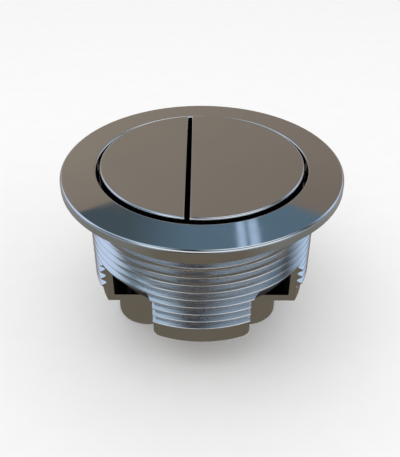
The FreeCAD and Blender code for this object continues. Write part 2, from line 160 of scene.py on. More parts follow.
# Lamps: name, place, size in metres and power in watts
LAMPS = (("soft_top", (-0.15, -0.2, 0.6), 0.5, 0.9), ("soft_side", (0.5, -0.3, 0.3), 0.4, 0.35))

# Width of the camera's sensor in millimetres, and the nearest distance that it sees
SENSOR = 36
NEAREST = 0.001


def length(name, description, default):
    """A property for a length in metres."""
    return number(name, description, default, unit="LENGTH", precision=5)


def number(name, description, default, **limits):
    """A property for a plain number."""
    return FloatProperty(name=name, description=description, default=default, **limits)


def colour(name, description, default):
    """A property for a linear colour."""
    return FloatVectorProperty(name=name, description=description, default=default, size=3,
                               subtype="COLOR", min=0, max=4)


# Sizes and colours that a user would change


class BodySizes(bpy.types.PropertyGroup):
    """Sizes of the plated body."""

    flange_radius: length("Flange radius", "Outside radius of the flange", BODY_HIGH.x)
    flange_top: length("Flange top", "Height of the flange's inner edge", BODY_HIGH.z)
    flange_edge: length("Flange edge", "Thickness of the flange at its rim", 0.0023)
    rim_rounding: length("Rim rounding", "Rounding of the flange's upper rim", 0.00065)
    bore_radius: length("Bore radius", "Radius of the opening for the buttons", 0.0273)
    bore_rounding: length("Bore rounding", "Rounding of the flange's inner edge", 0.00045)
    bore_draft: length("Bore draft", "How much narrower the bore is at the floor", 0.0002)
    skirt_depth: length("Skirt depth", "Depth of the tongues below the seat", 0.0328)
    floor_thickness: length("Floor thickness", "Thickness of the floor plate", 0.002)
    notch_top: length("Notch top", "Depth of the notches' upper edge", 0.0191)
    front_half: length("Front tongue", "Half the width of the front tongue", 0.0123)
    side_half: length("Side tongue", "Half the width of the side tongues", 0.013)
    notch_rounding: length("Notch rounding", "Rounding in the notches' corners", 0.0025)
    tongue_rounding: length("Tongue rounding", "Rounding of the tongue's lower corners", 0.0016)
    boss_foot: length("Boss foot", "Height of the bosses' lower faces", BODY_LOW.z)
    boss_radius: length("Boss radius", "Outside radius of a boss", 0.009)
    boss_wall: length("Boss wall", "Wall of a boss", 0.0015)
    boss_rounding: length("Boss rounding", "Rounding of a boss's lower edge", 0.0004)
    boss_web: length("Boss web", "Thickness of the wall that closes a boss", 0.0017)
    recess_depth: length("Recess depth", "Depth of the recess below that wall", 0.0029)
    recess_radius: length("Recess radius", "Radius of that recess", 0.0068)
    bush_hole: length("Bush hole", "Radius of the hole for the guide bush", 0.0059)
    steps: IntProperty(name="Steps", description="Faces round the body", default=240, min=48)


class ThreadSizes(bpy.types.PropertyGroup):
    """Sizes of the external thread."""

    neck: length("Neck radius", "Radius of the smooth neck above the thread", 0.0304)
    neck_height: length("Neck height", "Height of the smooth neck", 0.0053)
    neck_step: length("Neck step", "How far the neck stands out beyond the crests", 0.0004)
    radius: length("Crest radius", "Radius of the thread's crests", 0.03)
    pitch: length("Pitch", "Distance between crests", 0.00233)
    depth: length("Depth", "Depth of the thread", 0.0013)
    crest: length("Crest width", "Width of a crest", 0.0002)
    root: length("Root width", "Width of a root", 0.0004)
    start: length("Start", "Depth of the uppermost groove's end", 0.00675)
    turns: IntProperty(name="Turns", description="Turns of the thread", default=9, min=1)
    lead_in: length("Lead-in", "Height of the smooth band at the tongues' ends", 0.0044)
    lead_slope: length("Lead-in slope", "Height of the slope down to that band", 0.0006)
    softness: number("Softness", "Share of a flank that is rounded off", 0.14, min=0, max=0.5)
    rows: IntProperty(name="Rows", description="Faces along one pitch", default=24, min=6)


class ButtonSizes(bpy.types.PropertyGroup):
    """Sizes of the two plated caps."""

    radius: length("Radius", "Radius of the buttons' outer edge", CAP_HIGH.x)
    top: length("Top", "Height of the buttons' upper faces", CAP_HIGH.z)
    height: length("Height", "Height of a cap", CAP_HIGH.z - CAP_LOW.z)
    wall: length("Wall", "Wall of a cap", 0.0015)
    edge_rounding: length("Edge rounding", "Rounding of the outer edge", 0.00045)
    slot_rounding: length("Slot rounding", "Rounding of the edge along the slot", 0.0003)
    steps: IntProperty(name="Steps", description="Faces round a cap", default=160, min=24)


class SpringSizes(bpy.types.PropertyGroup):
    """Sizes of the return springs and of the threads in the rod inserts."""

    wire: length("Wire", "Diameter of a spring's wire", 0.0009)
    turns: number("Turns", "Turns of a spring", 6.5, min=2)
    closed: number("Closed turns", "Turns that lie flat at each end", 0.75, min=0, max=2)
    insert_pitch: length("Rod pitch", "Pitch of the thread in a rod insert", 0.0008)
    insert_depth: length("Rod thread depth", "Depth of that thread", 0.00035)
    insert_core: length("Rod core", "Radius of a rod insert's bore", 0.0021)
    insert_waist: length("Insert waist", "Depth of the groove round an insert", 0.00035)
    insert_groove: length("Insert groove", "Width of that groove", 0.0016)


class Finishes(bpy.types.PropertyGroup):
    """Colours of the finishes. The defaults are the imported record's."""

    plating: colour("Plating", "Bright chrome plating", SLOT_COLOURS["plated_plastic"])
    moulding: colour("Moulding", "Black moulded plastic", SLOT_COLOURS["black_plastic"])
    spring: colour("Spring", "Stainless spring wire", SLOT_COLOURS["spring_steel"])
    clip: colour("Clip", "Stainless strip", SLOT_COLOURS["clip_steel"])
    acetal: colour("Acetal", "Natural acetal", SLOT_COLOURS["white_acetal"])
    rubber: colour("Rubber", "Black rubber", SLOT_COLOURS["washer_rubber"])
    brass: colour("Brass", "Turned brass", SLOT_COLOURS["insert_brass"])


class StageSizes(bpy.types.PropertyGroup):
    """The studio: camera, floor and the room that the plating mirrors."""

    distance: length("Camera distance", "From the aim point to the camera", 0.16963)
    elevation: number("Elevation", "Camera's height angle", math.radians(30.21), subtype="ANGLE")
    roll: number("Roll", "Camera's turn about its view", math.radians(0.13), subtype="ANGLE")
    aim_right: number("Aim right", "Aim's shift to the right, over the distance", -0.001)
    aim_up: number("Aim up", "Aim's shift upwards, over the distance", -0.097)
    aim_x: length("Aim X", "Place of the aim point across", -0.000285)
    aim_z: length("Aim Z", "Height of the aim point", 0.00235)
    lens: number("Lens", "Focal length on a 36 mm sensor, in millimetres", 51.2)
    floor_radius: length("Floor radius", "Radius of the floor", 3.0)
    table_radius: length("Table radius", "Radius of the mirrored table", 1.2)
    room_radius: length("Room radius", "Radius of the mirrored room", 12.0)
    sky: number("Sky", "Strength of the even light all round", 0.89, min=0)
    floor: colour("Floor", "Pale paper floor", (0.93, 0.93, 0.93))
    warm: colour("Wall, left", "Lower wall of the room on the left", (0.283, 0.243, 0.2))
    warm_right: colour("Wall, right", "The same on the right", (0.222, 0.186, 0.155))
    cool: colour("Upper wall, right", "Upper wall on the right", (0.105, 0.175, 0.236))
    cool_left: colour("Upper wall, left", "Upper wall on the left", (0.064, 0.092, 0.11))
    overhead: colour("Overhead", "Ceiling right above the part", (0.042, 0.044, 0.05))
    window_left: colour("Left window", "Bright window on the left", (0.62, 0.76, 1.0))
    corner: colour("Corners", "Pale wall beside each window", (0.5, 0.51, 0.57))
    glow_left: colour("Left glow", "Soft light left of the ceiling", (0.47, 0.63, 0.78))
    glow_right: colour("Right glow", "Soft light right of the ceiling", (0.24, 0.32, 0.42))
    window_right: colour("Right window", "Bright window on the right", (0.56, 0.74, 0.98))
    strips: colour("Strips", "Two narrow lights on the upper wall", (0.42, 0.57, 0.77))
    panel: colour("Ceiling panel", "Light panel in the ceiling behind the part", (1.2, 1.24, 1.28))
    front: colour("Front light", "Lights over the camera", (0.93, 0.97, 1.03))
    dim: colour("Front wall", "Wall behind the camera", (0.035, 0.036, 0.042))
    dim_side: colour("Front wall, sides", "The same beside the camera", (0.21, 0.29, 0.37))
    behind: colour("Backdrop foot", "Pale foot of the wall behind the part", (0.75, 0.75, 0.72))
    table: colour("Table", "Table close in front of the part", (0.15, 0.131, 0.1))
    table_side: colour("Table, sides", "Table left and right of the part", (0.2, 0.2, 0.18))
    table_back: colour("Table, behind", "Table beside and behind the part", (0.36, 0.35, 0.33))
    table_far: colour("Table's edge", "Table towards the camera", (0.02, 0.021, 0.026))
    table_glow: colour("Table's sides", "Far left and right of the table", (0.22, 0.31, 0.39))


# Node trees


class Wiring:
    """Adds nodes to a tree and gives their inputs. Colours are given without alpha."""

    def __init__(self, tree):
        self.tree = tree
        self.nodes = tree.nodes

    def give(self, socket, value):
        """Join the socket to another one, or set its value. None leaves it alone."""
        if isinstance(value, bpy.types.NodeSocket):
            self.tree.links.new(value, socket)
        elif value is not None:
            socket.default_value = (*value, 1) if socket.type == "RGBA" else value

    def fill(self, node, inputs):
        """Give the node's inputs by their names."""
        for name, value in inputs.items():
            self.give(node.inputs[name], value)

    def add(self, kind, *values, inputs=None, **settings):
        """A new node, its inputs given in their order or by their names."""
        node = self.nodes.new(kind)
        for name, value in settings.items():
            setattr(node, name, value)
        for socket, value in zip(node.inputs, values):
            self.give(socket, value)
        self.fill(node, inputs or {})
        return node

    def math(self, operation, *values):
        return self.add("ShaderNodeMath", *values, operation=operation).outputs[0]

    def plus(self, first, second):
        return self.math("ADD", first, second)

    def less(self, first, second):
        return self.math("SUBTRACT", first, second)

    def times(self, first, *others):
        for other in others:
            first = self.math("MULTIPLY", first, other)
        return first

    def off(self, value, middle):
        """How far the value is from the middle."""
        return self.math("ABSOLUTE", self.less(value, middle))

    def reach(self, x, y):
        """Distance from the vertical axis."""
        return self.math("SQRT", self.plus(self.times(x, x), self.times(y, y)))

    def around(self, radius, angle):
        """X and Y of a place round the vertical axis."""
        return [self.times(radius, self.math(kind, angle)) for kind in ("COSINE", "SINE")]

    def ramp(self, value, low, high, at_low=0.0, at_high=1.0):
        """A value that runs from at_low to at_high while the given one runs from low to high."""
        return self.add("ShaderNodeMapRange", value, low, high, at_low, at_high).outputs[0]

    def area(self, axes, spans):
        """The share of a place that lies in all the spans. The axes give its value on each."""
        return self.times(*(self.ramp(axes[axis], outside, inside)
                            for axis, outside, inside in spans))

    def split(self, vector):
        return self.add("ShaderNodeSeparateXYZ", vector).outputs

    def join(self, x, y, z):
        return self.add("ShaderNodeCombineXYZ", x, y, z).outputs[0]

    def mix(self, share, first, second):
        """The first colour where share is 0 and the second where it is 1."""
        node = self.add("ShaderNodeMix", share, data_type="RGBA")
        colours = [socket for socket in node.inputs if socket.type == "RGBA"]
        self.give(colours[0], first)
        self.give(colours[1], second)
        return next(socket for socket in node.outputs if socket.type == "RGBA")

    def place(self):
        """The place on the piece, in its own coordinates."""
        return self.nodes.new("ShaderNodeTexCoord").outputs["Object"]

    def noise(self, place, scale, detail):
        return self.add("ShaderNodeTexNoise", inputs={
            "Vector": place, "Scale": scale, "Detail": detail}).outputs[0]


def new_tree(name, kind, inputs, outputs):
    """A node group with sockets named by their type. Returns its wiring, inputs and output node."""
    tree = bpy.data.node_groups.new(name, kind)
    for in_out, sockets in (("INPUT", inputs), ("OUTPUT", outputs)):
        for form, names in sockets.items():
            for socket in names:
                tree.interface.new_socket(socket, in_out=in_out, socket_type="NodeSocket" + form)
    wiring = Wiring(tree)
    given = wiring.nodes.new("NodeGroupInput").outputs
    return wiring, given, wiring.nodes.new("NodeGroupOutput")


def new_shape_tree(name, **inputs):
    """A geometry tree with the given inputs besides its geometry and material."""
    geometry = {"Geometry": ("Geometry",)}
    return new_tree(name, "GeometryNodeTree",
                    {**geometry, **inputs, "Material": ("Material",)}, geometry)


def finish_shape(wiring, shape, given, output):
    """End a geometry tree: smooth faces, real geometry and its material."""
    smooth = wiring.add("GeometryNodeSetShadeSmooth", shape)
    real = wiring.add("GeometryNodeRealizeInstances", smooth.outputs[0])
    painted = wiring.add("GeometryNodeSetMaterial", inputs={
        "Geometry": real.outputs[0], "Material": given["Material"]})
    wiring.give(output.inputs[0], painted.outputs[0])
    return wiring.tree


def thread_tree():
    """Wraps an unrolled outline round the axis and sinks a helical groove into its marked rows.

    In the unrolled strip X is the radius, Y the angle and Z the height."""
    wiring, given, output = new_shape_tree("Threaded turning", Float=(
        "Pitch", "Crest radius", "Depth", "Crest width", "Root width", "First groove",
        "Last groove", "Low", "High", "Lead-in top", "Lead-in foot", "Softness"))
    calculate, plus, less, times = wiring.math, wiring.plus, wiring.less, wiring.times
    pitch, last, softness = given["Pitch"], given["Last groove"], given["Softness"]
    radius, angle, height = wiring.split(wiring.nodes.new("GeometryNodeInputPosition").outputs[0])
    marked = wiring.add("GeometryNodeInputNamedAttribute", "threaded", data_type="FLOAT").outputs[0]

    climb = times(calculate("DIVIDE", angle, FULL_TURN), pitch)
    lifted = calculate("MINIMUM", plus(height, climb), given["High"])
    lifted = calculate("MAXIMUM", lifted, given["Low"])
    level = plus(height, times(marked, less(lifted, height)))

    half = times(pitch, 0.5)
    from_first = less(less(level, given["First groove"]), climb)
    offset = calculate("WRAP", from_first, half, times(half, -1.0))
    wide = times(less(pitch, given["Crest width"]), 0.5)
    narrow = times(given["Root width"], 0.5)
    flank = calculate("DIVIDE", less(wide, calculate("ABSOLUTE", offset)), less(wide, narrow))
    flank = calculate("SMOOTH_MAX", flank, 0.0, softness)
    flank = calculate("SMOOTH_MIN", flank, 1.0, softness)

    run_out = wiring.ramp(less(level, offset), less(last, times(pitch, RUN_OUT)), last, 1.0, 0.0)
    lead_in = wiring.ramp(level, given["Lead-in foot"], given["Lead-in top"], 1.0, 0.0)
    sunk = calculate("MAXIMUM", times(flank, run_out), lead_in)
    cut = less(given["Crest radius"], times(given["Depth"], sunk))
    turned = plus(radius, times(marked, less(cut, radius)))
    moved = wiring.add("GeometryNodeSetPosition", inputs={
        "Geometry": given["Geometry"],
        "Position": wiring.join(*wiring.around(turned, angle), level)})
    welded = wiring.add("GeometryNodeMergeByDistance", inputs={
        "Geometry": moved.outputs[0], "Distance": WELD})
    return finish_shape(wiring, welded.outputs[0], given, output)


def carving_tree():
    """Joins the bosses to the turned body, then cuts the notches, corners and bores out of it."""
    wiring, given, output = new_shape_tree("Joined and cut", Object=("Bosses", "Notches", "Bores"))
    shape = given["Geometry"]
    for name, operation, first in (("Bosses", "UNION", "Mesh 2"),
                                   ("Notches", "DIFFERENCE", "Mesh 1"),
                                   ("Bores", "DIFFERENCE", "Mesh 1")):
        tool = wiring.add("GeometryNodeObjectInfo", given[name]).outputs["Geometry"]
        step = wiring.add("GeometryNodeMeshBoolean", operation=operation, solver="EXACT")
        wiring.give(step.inputs[first], shape)
        wiring.give(step.inputs["Mesh 2"], tool)
        shape = step.outputs[0]
    return finish_shape(wiring, shape, given, output)


def coil_tree():
    """A compression spring with closed ends, wound upwards from its foot."""
    wiring, given, output = new_shape_tree("Coil spring", Int=("Points",), Float=(
        "Coil radius", "Wire radius", "Foot", "Height", "Turns", "Closed turns", "Across"))
    plus, less, times, ramp = wiring.plus, wiring.less, wiring.times, wiring.ramp
    turns, closed_turns, radius = given["Turns"], given["Closed turns"], given["Wire radius"]
    line = wiring.nodes.new("GeometryNodeCurvePrimitiveLine")
    spaced = wiring.add("GeometryNodeResampleCurve", inputs={
        "Curve": line.outputs[0], "Count": given["Points"]})
    along = wiring.nodes.new("GeometryNodeSplineParameter").outputs["Factor"]
    wire = times(radius, 2.0)
    end = wiring.math("DIVIDE", closed_turns, turns)
    upper = less(1.0, end)
    closed = times(closed_turns, wire)
    open_rise = less(less(given["Height"], wire), times(closed, 2.0))
    height = plus(ramp(along, 0.0, end, 0.0, closed), ramp(along, end, upper, 0.0, open_rise))
    height = plus(height, ramp(along, upper, 1.0, 0.0, closed))
    height = plus(height, plus(given["Foot"], radius))
    across, deep = wiring.around(given["Coil radius"], times(along, turns, FULL_TURN))
    wound = wiring.add("GeometryNodeSetPosition", inputs={
        "Geometry": spaced.outputs[0],
        "Position": wiring.join(plus(across, given["Across"]), deep, height)})
    section = wiring.add("GeometryNodeCurvePrimitiveCircle", inputs={
        "Resolution": WIRE_STEPS, "Radius": radius})
    swept = wiring.add("GeometryNodeCurveToMesh", inputs={
        "Curve": wound.outputs[0], "Profile Curve": section.outputs[0], "Fill Caps": True})
    return finish_shape(wiring, swept.outputs[0], given, output)


def keep_result(obj, modifier):
    """Keep what the modifier makes as the object's plain mesh."""
    evaluated = obj.evaluated_get(bpy.context.evaluated_depsgraph_get())
    mesh = bpy.data.meshes.new_from_object(evaluated)
    obj.modifiers.remove(modifier)
    obj.data = mesh


def grow(obj, tree, **values):
    """Run a geometry tree on the object and keep the result as its plain mesh."""
    modifier = obj.modifiers.new(tree.name, "NODES")
    modifier.node_group = tree
    wanted = {name.replace("_", " "): value for name, value in values.items()}
    for item in tree.interface.items_tree:
        key = item.name.replace("-", " ").lower()
        if item.in_out == "INPUT" and key in wanted:
            modifier[item.identifier] = wanted.pop(key)
    if wanted:
        raise RuntimeError("%s has no input for %s" % (tree.name, sorted(wanted)))
    keep_result(obj, modifier)
    if not obj.data.polygons:
        raise RuntimeError(obj.name + " came out empty")


# Meshes


def new_object(name, data):
    obj = bpy.data.objects.new(name, data)
    bpy.context.scene.collection.objects.link(obj)
    return obj


def object_from(name, bm):
    mesh = bpy.data.meshes.new(name)
    bm.to_mesh(mesh)
    bm.free()
    return new_object(name, mesh)


def set_material(obj, material):
    """Give the object one material on all its faces."""
    obj.data.materials.clear()
    obj.data.materials.append(material)


def crisp(obj, material):
    """Smooth faces with sharp edges where the surface turns, weighted so that flats stay flat."""
    bm = bmesh.new()
    bm.from_mesh(obj.data)
    bmesh.ops.remove_doubles(bm, verts=bm.verts, dist=WELD / 5)
    bmesh.ops.recalc_face_normals(bm, faces=bm.faces)
    for face in bm.faces:
        face.smooth = True
    for edge in bm.edges:
        edge.smooth = len(edge.link_faces) == 2 and edge.calc_face_angle(0) < SHARP_ANGLE
    bm.to_mesh(obj.data)
    bm.free()
    weighted = obj.modifiers.new("Flat faces", "WEIGHTED_NORMAL")
    weighted.keep_sharp = True
    keep_result(obj, weighted)
    set_material(obj, material)


def rounded(corners):
    """Points of an outline whose corners, given as (radius, height, rounding), are rounded."""
    points = []
    for index, (r, z, rounding) in enumerate(corners):
        corner = Vector((r, z))
        if not rounding:
            points.append((r, z))
            continue
        before = (Vector(corners[index - 1][:2]) - corner).normalized()
        after = (Vector(corners[index + 1][:2]) - corner).normalized()
        half = before.angle(after) / 2
        centre = corner + (before + after).normalized() * (rounding / math.sin(half))
        start = corner + before * (rounding / math.tan(half)) - centre
        end = corner + after * (rounding / math.tan(half)) - centre
        sweep = math.pi - 2 * half
        for step in range(ROUNDING_STEPS + 1):
            share = step / ROUNDING_STEPS
            point = centre + (start * math.sin((1 - share) * sweep)
                              + end * math.sin(share * sweep)) / math.sin(sweep)
            points.append((point.x, point.y))
    return points


def unrolled(name, rows, steps):
    """An outline laid out as a strip. Each row is (radius, height, 1 where it is threaded)."""
    columns = steps + 1
    vertices = [(r, FULL_TURN * column / steps, z) for r, z, _ in rows for column in range(columns)]
    corners = [row * columns + column for row in range(len(rows) - 1) for column in range(steps)]
    faces = [(k, k + columns, k + columns + 1, k + 1) for k in corners]
    mesh = bpy.data.meshes.new(name)
    mesh.from_pydata(vertices, [], faces)
    marks = mesh.attributes.new("threaded", "FLOAT", "POINT")
    marks.data.foreach_set("value", [float(mark) for _, _, mark in rows for _ in range(columns)])
    return new_object(name, mesh)


def threaded_rows(radius, low, high, pitch, per_pitch):
    """Rows for the thread, from its upper end down to a pitch below its lower one."""
    count = math.ceil((high - low + pitch) / pitch * per_pitch)
    return [(radius, high - pitch * k / per_pitch, 1) for k in range(count + 1)]


def bridge(bm, rings):
    """Faces between rings of points. At a pole, where points are the same, they have three."""
    for first, second in zip(rings, rings[1:]):
        for k in range(len(first)):
            following = (k + 1) % len(first)
            corners = (first[k], second[k], second[following], first[following])
            bm.faces.new(list(dict.fromkeys(corners)))


def turn(bm, points, across):
    """Add a solid turned about the vertical axis at the given place across."""
    rings = []
    for r, z in points:
        if r == 0:
            rings.append([bm.verts.new((across, 0, z))] * TURNED_STEPS)
            continue
        angles = [FULL_TURN * k / TURNED_STEPS for k in range(TURNED_STEPS)]
        rings.append([bm.verts.new((across + r * math.cos(angle), r * math.sin(angle), z))
                      for angle in angles])
    bridge(bm, rings)


def boss_across(side):
    """Place of a boss's axis, from the spring that stands in it."""
    low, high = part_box(side + "_return_spring")
    return (low.x + high.x) / 2


def boss_solids(b):
    """The two round bosses below the floor, as plain solids."""
    bm = bmesh.new()
    top = b.floor_thickness / 2 - b.skirt_depth
    outline = rounded(((0, top, 0), (b.boss_radius, top, 0),
                       (b.boss_radius, b.boss_foot, b.boss_rounding), (0, b.boss_foot, 0)))
    for side in SIDES:
        turn(bm, outline, boss_across(side))
    return object_from("boss_solids", bm)


def bore_solids(b):
    """The stepped bores of the bosses and the rounded-off corners of the front and back tongues."""
    bm = bmesh.new()
    floor_top = b.floor_thickness - b.skirt_depth
    web_foot = b.boss_foot + b.recess_depth
    seat = web_foot + b.boss_web
    cavity = b.boss_radius - b.boss_wall
    for side in SIDES:
        turn(bm, ((0, floor_top + MARGIN), (cavity, floor_top + MARGIN), (cavity, seat),
                  (b.bush_hole, seat), (b.bush_hole, web_foot), (b.recess_radius, web_foot),
                  (b.recess_radius, b.boss_foot - MARGIN), (0, b.boss_foot - MARGIN)),
             boss_across(side))
    rounding, foot = b.tongue_rounding, -b.skirt_depth
    arc = [(b.front_half - rounding * (1 - math.cos(angle)),
            foot + rounding * (1 - math.sin(angle))) for angle in ROUNDING_ANGLES]
    section = [(b.front_half - rounding, foot - MARGIN), (b.front_half + MARGIN, foot - MARGIN),
               (b.front_half + MARGIN, foot + rounding)] + arc
    inner = b.side_half + b.notch_rounding
    for x_side, y_side in CORNERS:
        ends = [[bm.verts.new((x * x_side, y * y_side, z)) for x, z in section]
                for y in (inner, b.flange_radius)]
        bridge(bm, ends)
        for end in ends:
            bm.faces.new(end)
    bmesh.ops.recalc_face_normals(bm, faces=bm.faces)
    return object_from("bore_solids", bm)


def notch_solids(b):
    """The four corner notches, with rounded inner corners."""
    bm = bmesh.new()
    low, high = -b.skirt_depth - MARGIN, -b.notch_top
    for x_side, y_side in CORNERS:
        near = Vector((b.front_half * x_side, b.side_half * y_side, high))
        far = Vector((b.flange_radius * x_side, b.flange_radius * y_side, low))
        middle, size = (near + far) / 2, far - near
        scale = Matrix.Diagonal((abs(size.x), abs(size.y), abs(size.z), 1))
        made = bmesh.ops.create_cube(bm, size=1, matrix=Matrix.Translation(middle) @ scale)
        inner = []
        for edge in {edge for vertex in made["verts"] for edge in vertex.link_edges}:
            points = [vertex.co for vertex in edge.verts]
            at_near = [all(abs(point[axis] - near[axis]) < WELD for point in points)
                       for axis in range(3)]
            if sum(at_near) == 2:
                inner.append(edge)
        bmesh.ops.bevel(bm, geom=inner, offset=b.notch_rounding, segments=ROUNDING_STEPS,
                        profile=0.5, affect="EDGES")
    return object_from("notch_solids", bm)


def body_rows(b, t):
    """Rows of the turned body, from the floor's middle over the flange and back below it."""
    floor_top = b.floor_thickness - b.skirt_depth
    upper = rounded(((0, floor_top, 0), (b.bore_radius - b.bore_draft, floor_top, 0),
                     (b.bore_radius, b.flange_top, b.bore_rounding),
                     (b.flange_radius, b.flange_edge, b.rim_rounding),
                     (b.flange_radius, 0, 0), (t.neck, 0, 0), (t.neck, -t.neck_height, 0)))
    high = -t.neck_height - t.neck_step
    low = t.lead_in - b.skirt_depth - t.lead_slope / 2
    root = t.radius - t.depth
    rows = [(r, z, 0) for r, z in upper] + threaded_rows(t.radius, low, high, t.pitch, t.rows)
    rows += ((root, low - MARGIN, 0), (root, -b.skirt_depth, 0), (0, -b.skirt_depth, 0))
    return rows, low, high


def cap_outline(b, side, chord, arc_inset, chord_inset):
    """Points round a cap: its arc, closed by the straight edge along the slot."""
    toward = 1 if side == "small" else -1
    radius = b.radius - arc_inset
    straight = chord - toward * chord_inset
    half = math.acos(-toward * straight / radius)
    middle = math.pi if side == "small" else 0
    angles = [middle - half + 2 * half * k / b.steps for k in range(b.steps + 1)]
    return [(radius * math.cos(angle), radius * math.sin(angle)) for angle in angles]


def cap_mesh(b, side):
    """A plated shell: ceiling, inner wall, foot, outer wall, rounded edge and flat top."""
    low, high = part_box(side + "_button_cap")
    chord = high.x if side == "small" else low.x
    foot = b.top - b.height
    levels = [(b.top - b.wall, b.wall, b.wall), (foot, b.wall, b.wall), (foot, 0, 0)]
    for angle in ROUNDING_ANGLES:
        rise = b.edge_rounding * (1 - math.sin(angle))
        inset = b.edge_rounding * (1 - math.cos(angle))
        reach = max(b.slot_rounding - rise, 0)
        slot_inset = b.slot_rounding - math.sqrt(b.slot_rounding ** 2 - reach ** 2)
        levels.append((b.top - rise, inset, slot_inset))
    levels.append((b.top, b.edge_rounding + b.slot_rounding / 3, b.slot_rounding * 4 / 3))
    bm = bmesh.new()
    rings = [[bm.verts.new((x, y, z)) for x, y in cap_outline(b, side, chord, arc, slot)]
             for z, arc, slot in levels]
    bridge(bm, rings)
    for end in (rings[0], rings[-1]):
        bm.faces.new(end)
    bmesh.ops.recalc_face_normals(bm, faces=bm.faces)
    return object_from(side + "_plated_cap", bm)


# Finishes


def new_material(name):
    """A new material's wiring, which also holds the material and its shader."""
    material = bpy.data.materials.new(name)
    material.use_nodes = True
    wiring = Wiring(material.node_tree)
    wiring.material, wiring.shader = material, wiring.nodes["Principled BSDF"]
    return wiring


def marks_group():
    """Handling marks and grain that every finish uses with its own values."""
    existing = bpy.data.node_groups.get("Handling marks")
    if existing:
        return existing
    wiring, given, output = new_tree("Handling marks", "ShaderNodeTree", {
        "Color": ("Colour", "Worn colour"),
        "Float": ("Mark scale", "Smooth", "Rough", "Grain scale")},
        {"Color": ("Colour",), "Float": ("Roughness", "Grain")})
    plus, times, place = wiring.plus, wiring.times, wiring.place()
    smear = wiring.ramp(wiring.noise(place, given["Mark scale"], MARK_DETAIL), *SMEARED)
    grain = wiring.noise(place, given["Grain scale"], GRAIN_DETAIL)
    spread = wiring.less(given["Rough"], given["Smooth"])
    blend = plus(times(smear, SMEAR_HAZE), times(grain, GRAIN_HAZE))
    wiring.fill(output, {
        "Colour": wiring.mix(times(smear, SMEAR_TINT), given["Colour"], given["Worn colour"]),
        "Roughness": plus(given["Smooth"], times(spread, blend)), "Grain": grain})
    return wiring.tree


def finish(name, tint, wear, smooth, rough, grain, height, metallic=0.0):
    """A material with grain and marks, where its colour is multiplied by the wear.

    Returns its wiring, which also holds its marks and its bump."""
    made = new_material(name)
    made.marks = made.add("ShaderNodeGroup", node_tree=marks_group(), inputs={
        "Colour": tint, "Worn colour": [min(1.0, channel * wear) for channel in tint],
        "Mark scale": MARK_SCALE, "Smooth": smooth, "Rough": rough, "Grain scale": grain})
    marks = made.marks.outputs
    made.bump = made.add("ShaderNodeBump", inputs={"Distance": height, "Height": marks["Grain"]})
    made.fill(made.shader, {
        "Base Color": marks["Colour"], "Roughness": marks["Roughness"],
        "Normal": made.bump.outputs[0], "Metallic": metallic})
    return made


def plated_material(tint, t, skirt_depth):
    """Bright plating, a little hazier and grainy on the moulded thread."""
    made = finish("plating", tint, wear=0.96, smooth=0.035, rough=0.11, grain=900.0, height=2e-7,
                  metallic=1.0)
    x, y, z = made.split(made.place())
    deep, shallow = ROUGH_DEPTH
    lead = t.lead_in - skirt_depth
    thread = made.area({"radius": made.reach(x, y), "z": z}, (
        ("radius", t.radius - t.depth * deep, t.radius - t.depth * shallow),
        ("z", t.pitch / 2 - t.start, -t.start), ("z", lead, lead + t.lead_slope)))
    unrolled_place = made.join(made.times(made.math("ARCTAN2", y, x), t.radius), 0.0,
                               made.times(z, THREAD_GRAIN_STRETCH))
    fine = made.noise(unrolled_place, THREAD_GRAIN_SCALE, GRAIN_DETAIL)
    marks = made.marks.outputs
    made.give(made.bump.inputs["Height"],
              made.plus(marks["Grain"], made.times(fine, thread, THREAD_GRAIN)))
    made.give(made.shader.inputs["Roughness"],
              made.plus(marks["Roughness"], made.times(thread, THREAD_HAZE)))
    return made.material


# Operators


class PUSHBUTTON_OT_body(bpy.types.Operator):
    """Build the plated body with its thread, notches and bosses"""

    bl_idname = "pushbutton.body"
    bl_label = "Threaded body"

    def execute(self, context):
        scene = context.scene
        b, t = scene.button_body, scene.button_thread
        plating = plated_material(scene.button_finishes.plating, t, b.skirt_depth)
        rows, low, high = body_rows(b, t)
        body = unrolled("plated_body", rows, b.steps)
        lead_foot = t.lead_in - b.skirt_depth
        grow(body, thread_tree(), pitch=t.pitch, crest_radius=t.radius, depth=t.depth,
             crest_width=t.crest, root_width=t.root, first_groove=-t.start - t.pitch * t.turns,
             last_groove=-t.start, low=low, high=high, lead_in_top=lead_foot + t.lead_slope,
             lead_in_foot=lead_foot, softness=t.softness, material=plating)
        tools = [boss_solids(b), notch_solids(b), bore_solids(b)]
        grow(body, carving_tree(), bosses=tools[0], notches=tools[1], bores=tools[2],
             material=plating)
        for tool in tools:
            bpy.data.objects.remove(tool)
        crisp(body, plating)
        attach(body, "body")
        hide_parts("bezel_body")
        return {"FINISHED"}


class PUSHBUTTON_OT_caps(bpy.types.Operator):
    """Build the two plated button caps"""

    bl_idname = "pushbutton.caps"
    bl_label = "Button caps"

    def execute(self, context):
        plating = bpy.data.materials["plating"]
        for side in SIDES:
            cap = cap_mesh(context.scene.button_caps, side)
            crisp(cap, plating)
            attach(cap, side + "_button")
            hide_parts(side + "_button_cap")
        return {"FINISHED"}


